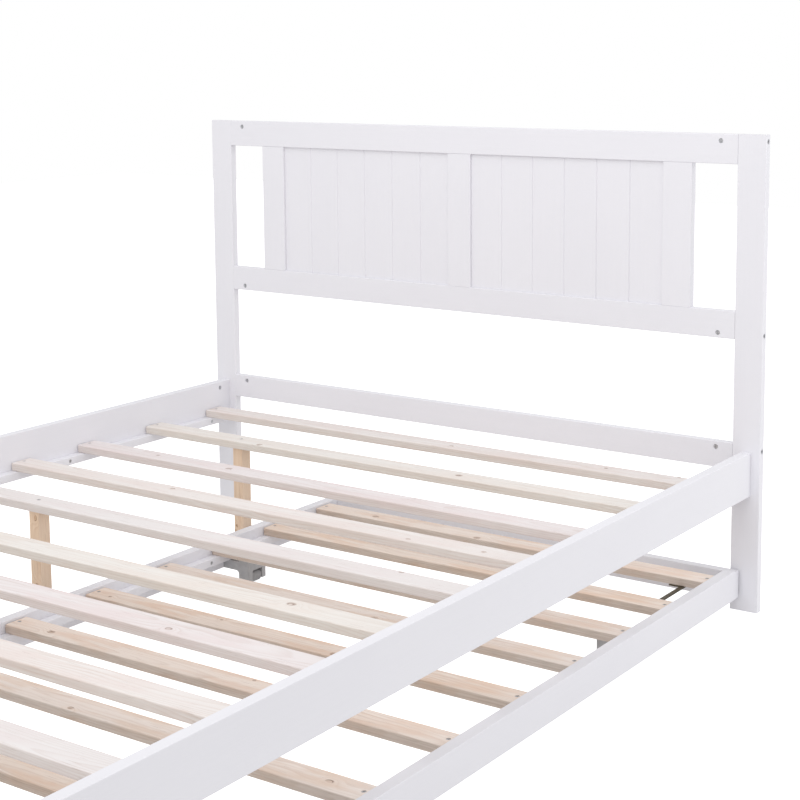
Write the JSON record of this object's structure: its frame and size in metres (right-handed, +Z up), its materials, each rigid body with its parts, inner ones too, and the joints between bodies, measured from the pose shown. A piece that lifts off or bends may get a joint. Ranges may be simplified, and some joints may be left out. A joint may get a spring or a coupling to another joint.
{
  "type": "trundle bed",
  "caption": "Wooden bed frame with a plank-panelled headboard and a slatted deck, and a low slatted trundle that rolls out sideways from under it.",
  "frame": {"origin": "on the floor, under the middle of the bed frame", "axes": "+X to the side that the trundle rolls out to, +Y to the headboard, +Z up"},
  "size_m": [1.46, 2.002, 0.985],
  "materials": {
    "white_paint": "satin white paint on solid wood",
    "bare_pine": "bare planed pine",
    "leg_pine": "bare planed pine, deeper in colour",
    "beech_dowel": "bare beech",
    "zinc_steel": "zinc-plated steel",
    "axle_steel": "plain steel",
    "dark_steel": "black powder coat",
    "grey_plastic": "moulded light grey plastic",
    "roller_nylon": "moulded grey nylon"
  },
  "bodies": {
    "bed_frame": {"barrel_nuts": "zinc_steel", "bed_ledger_left": "white_paint", "bed_ledger_right": "white_paint", "bed_screws": "zinc_steel", "bed_slat_1": "bare_pine", "bed_slat_10": "bare_pine", "bed_slat_2": "bare_pine", "bed_slat_3": "bare_pine", "bed_slat_4": "bare_pine", "bed_slat_5": "bare_pine", "bed_slat_6": "bare_pine", "bed_slat_7": "bare_pine", "bed_slat_8": "bare_pine", "bed_slat_9": "bare_pine", "footboard_post_left": "white_paint", "footboard_post_right": "white_paint", "footboard_rail": "white_paint", "frame_bolts": "zinc_steel", "headboard_bottom_rail": "white_paint", "headboard_middle_rail": "white_paint", "headboard_panel_left": "white_paint", "headboard_panel_right": "white_paint", "headboard_post_left": "white_paint", "headboard_post_right": "white_paint", "headboard_stile_centre": "white_paint", "headboard_stile_left": "white_paint", "headboard_stile_right": "white_paint", "headboard_top_rail": "white_paint", "side_rail_left": "white_paint", "side_rail_right": "white_paint", "support_leg_1": "leg_pine", "support_leg_2": "leg_pine", "support_leg_3": "leg_pine", "wood_dowels": "beech_dowel"},
    "trundle": {"trundle_back_rail": "white_paint", "trundle_foot_board": "white_paint", "trundle_front_rail": "white_paint", "trundle_head_board": "white_paint", "trundle_ledger_back": "white_paint", "trundle_ledger_front": "white_paint", "trundle_screws": "zinc_steel", "trundle_slat_1": "bare_pine", "trundle_slat_10": "bare_pine", "trundle_slat_2": "bare_pine", "trundle_slat_3": "bare_pine", "trundle_slat_4": "bare_pine", "trundle_slat_5": "bare_pine", "trundle_slat_6": "bare_pine", "trundle_slat_7": "bare_pine", "trundle_slat_8": "bare_pine", "trundle_slat_9": "bare_pine", "roller_housings_front": "grey_plastic", "roller_housings_back": "grey_plastic", "roller_axles": "axle_steel", "corner_braces": "dark_steel"},
    "roller_front_head": {"roller_front_head": "roller_nylon"},
    "roller_front_foot": {"roller_front_foot": "roller_nylon"},
    "roller_back_head": {"roller_back_head": "roller_nylon"},
    "roller_back_foot": {"roller_back_foot": "roller_nylon"}
  },
  "joints": [
    {"name": "trundle_slide", "type": "slide", "parent": "bed_frame", "child": "trundle", "axis": [1, 0, 0], "range_m": [0, 1.09]},
    {"name": "front_head_roller_spin", "type": "hinge", "parent": "trundle", "child": "roller_front_head", "pos_m": [0.608, 0.5715, 0.0135], "axis": [0, 1, 0], "continuous": true},
    {"name": "front_foot_roller_spin", "type": "hinge", "parent": "trundle", "child": "roller_front_foot", "pos_m": [0.608, -0.5435, 0.0135], "axis": [0, 1, 0], "continuous": true},
    {"name": "back_head_roller_spin", "type": "hinge", "parent": "trundle", "child": "roller_back_head", "pos_m": [-0.276, 0.5715, 0.0135], "axis": [0, 1, 0], "continuous": true},
    {"name": "back_foot_roller_spin", "type": "hinge", "parent": "trundle", "child": "roller_back_foot", "pos_m": [-0.276, -0.5435, 0.0135], "axis": [0, 1, 0], "continuous": true}
  ],
  "couplings": [
    {"joint": "front_head_roller_spin", "follows": "trundle_slide", "rad_per_m": 74.074},
    {"joint": "front_foot_roller_spin", "follows": "trundle_slide", "rad_per_m": 74.074},
    {"joint": "back_head_roller_spin", "follows": "trundle_slide", "rad_per_m": 74.074},
    {"joint": "back_foot_roller_spin", "follows": "trundle_slide", "rad_per_m": 74.074}
  ]
}
